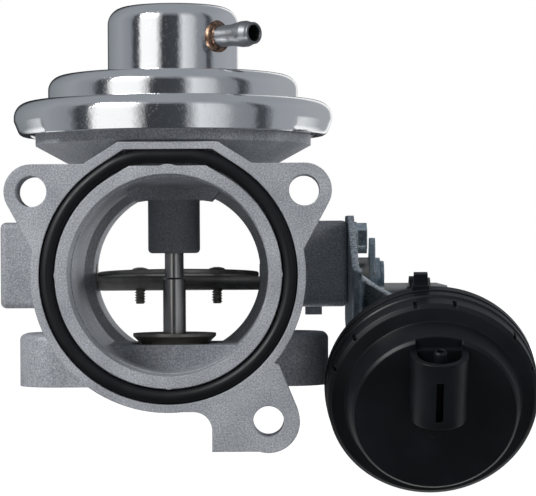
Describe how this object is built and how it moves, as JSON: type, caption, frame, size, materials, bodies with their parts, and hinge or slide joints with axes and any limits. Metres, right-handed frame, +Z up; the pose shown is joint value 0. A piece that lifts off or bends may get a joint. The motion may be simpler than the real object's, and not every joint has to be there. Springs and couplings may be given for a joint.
{
  "type": "exhaust gas recirculation valve",
  "caption": "Vacuum-operated exhaust gas valve: cast air duct with a lift valve under a round plated cap, a round shut-off flap and a tilted black vacuum capsule pulling its lever.",
  "frame": {"origin": "centre of the air bore on the manifold flange face", "axes": "+X towards the flap lever and capsule, +Y along the bore from the manifold face to the hose spigot, +Z up to the vacuum cap"},
  "size_m": [0.1553, 0.1176, 0.1389],
  "materials": {
    "cast_aluminium": "shot-blasted die casting",
    "ring_rubber": "moulded, slightly oily",
    "hard_steel": "ground",
    "bronze": "sintered",
    "bright_plating": "bright plated deep-drawn sheet",
    "satin_plating": "satin plated",
    "copper_braze": "brazed",
    "membrane_rubber": "fabric-reinforced",
    "spring_steel": "drawn wire",
    "zinc_sheet": "zinc plated",
    "shaft_steel": "dark, turned",
    "screw_steel": "dull plated",
    "blue_zinc": "blue passivated zinc",
    "black_nylon": "glass-filled nylon, fine satin"
  },
  "bodies": {
    "housing": {"housing": "cast_aluminium", "manifold_o_ring": "ring_rubber", "valve_seat": "hard_steel", "stem_guide": "bronze", "stem_seal": "ring_rubber", "vacuum_cap": "bright_plating", "hose_nipple": "satin_plating", "nipple_braze": "copper_braze", "diaphragm": "membrane_rubber", "valve_spring": "spring_steel", "shaft_bush_left": "bronze", "shaft_bush_right": "bronze", "shaft_seal_left": "ring_rubber", "shaft_seal_right": "ring_rubber", "shaft_end_plug": "zinc_sheet", "capsule_bracket": "blue_zinc", "bracket_screws": "blue_zinc", "capsule_front_shell": "black_nylon", "vacuum_port": "black_nylon", "capsule_rear_shell": "black_nylon", "capsule_diaphragm": "membrane_rubber", "capsule_spring": "spring_steel", "capsule_studs": "blue_zinc", "capsule_nuts": "blue_zinc"},
    "valve": {"valve_stem": "hard_steel", "poppet": "hard_steel", "lower_plate": "zinc_sheet", "upper_plate": "zinc_sheet", "stem_nut": "zinc_sheet"},
    "flap": {"flap_shaft": "shaft_steel", "flap_plate": "shaft_steel", "flap_screws": "screw_steel", "flap_lever": "blue_zinc", "lever_rivet": "blue_zinc", "crank_pin": "blue_zinc", "pin_clip": "spring_steel"},
    "rod": {"pull_rod": "blue_zinc", "rod_eye": "black_nylon", "capsule_piston": "black_nylon"}
  },
  "joints": [
    {"name": "valve_lift", "type": "slide", "parent": "housing", "child": "valve", "axis": [0, 0, 1], "range_m": [0, 0.0065], "stiffness_N_per_m": 2500, "springref_m": -0.003, "deforming": ["valve_spring", "diaphragm"]},
    {"name": "flap_turn", "type": "hinge", "parent": "housing", "child": "flap", "pos_m": [0, 0.075, -0.0015], "axis": [-1, 0, 0], "range_deg": [0, 85], "stiffness_Nm_per_rad": 0.16, "springref_deg": -28.65},
    {"name": "rod_slide", "type": "slide", "parent": "housing", "child": "rod", "axis": [0, -0.9239, -0.3827], "range_m": [0, 0.0136], "deforming": ["capsule_spring", "capsule_diaphragm"]}
  ],
  "couplings": [
    {"joint": "rod_slide", "follows": "flap_turn", "m_per_rad": 0.0091}
  ]
}
